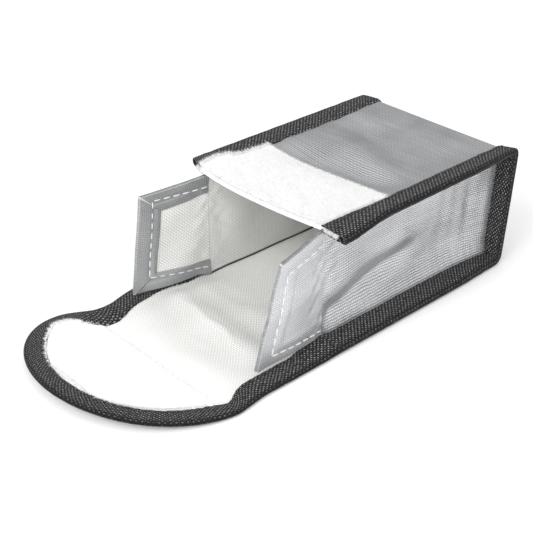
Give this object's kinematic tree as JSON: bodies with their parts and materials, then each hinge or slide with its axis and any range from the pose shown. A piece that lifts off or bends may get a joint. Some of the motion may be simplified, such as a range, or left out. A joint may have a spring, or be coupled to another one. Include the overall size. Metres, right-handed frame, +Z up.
{
  "type": "battery safety pouch",
  "caption": "Empty open pouch for a model-aircraft battery: silver cloth box with bound edges, fold-over flap, hook-and-loop closure and two side ears.",
  "frame": {"origin": "on the flat underside of the floor, midway between the side panels, at the mouth line", "axes": "+X to the right seen from the mouth, +Y from the mouth to the closed end, +Z up"},
  "size_m": [0.084, 0.1881, 0.0481],
  "materials": {
    "silver_cloth": "satin",
    "lining_cloth": "matte",
    "binding_tape": "matte",
    "hook_and_loop": "matte",
    "white_thread": "matte",
    "black_thread": "matte"
  },
  "bodies": {
    "pouch": {"wrap_shell": "silver_cloth", "wrap_lining": "lining_cloth", "left_side_shell": "silver_cloth", "right_side_shell": "silver_cloth", "left_side_lining": "lining_cloth", "right_side_lining": "lining_cloth", "left_rim_binding": "binding_tape", "right_rim_binding": "binding_tape", "left_rim_stitching": "black_thread", "right_rim_stitching": "black_thread", "loop_strip": "hook_and_loop", "loop_strip_stitching": "white_thread"},
    "flap_cover": {"cover_shell": "silver_cloth", "cover_lining": "lining_cloth", "left_cover_binding": "binding_tape", "right_cover_binding": "binding_tape", "left_cover_stitching": "black_thread", "right_cover_stitching": "black_thread"},
    "flap_tongue": {"tongue_shell": "silver_cloth", "tongue_lining": "lining_cloth", "tongue_binding": "binding_tape", "tongue_binding_stitching": "black_thread", "hook_patch": "hook_and_loop", "hook_patch_stitching": "white_thread"},
    "left_ear": {"left_ear_shell": "silver_cloth", "left_ear_lining": "lining_cloth", "left_ear_hem": "silver_cloth", "left_ear_stitching": "white_thread"},
    "right_ear": {"right_ear_shell": "silver_cloth", "right_ear_lining": "lining_cloth", "right_ear_hem": "silver_cloth", "right_ear_stitching": "white_thread"}
  },
  "joints": [
    {"name": "flap_base_fold", "type": "hinge", "parent": "pouch", "child": "flap_cover", "pos_m": [0, -0.004, 0.00105], "axis": [-1, 0, 0], "range_deg": [0, 90], "deforming": ["left_ear_shell", "left_ear_lining", "left_ear_hem", "left_ear_stitching", "right_ear_shell", "right_ear_lining", "right_ear_hem", "right_ear_stitching"]},
    {"name": "flap_top_fold", "type": "hinge", "parent": "flap_cover", "child": "flap_tongue", "pos_m": [0, -0.0528, 0.00105], "axis": [-1, 0, 0], "range_deg": [-7, 83]},
    {"name": "left_ear_fold", "type": "hinge", "parent": "pouch", "child": "left_ear", "pos_m": [-0.03055, 0, 0.0238], "axis": [0, 0, 1], "range_deg": [-50.5, 97.5]},
    {"name": "right_ear_fold", "type": "hinge", "parent": "pouch", "child": "right_ear", "pos_m": [0.03055, 0, 0.0238], "axis": [0, 0, -1], "range_deg": [-50.5, 105.5]}
  ]
}
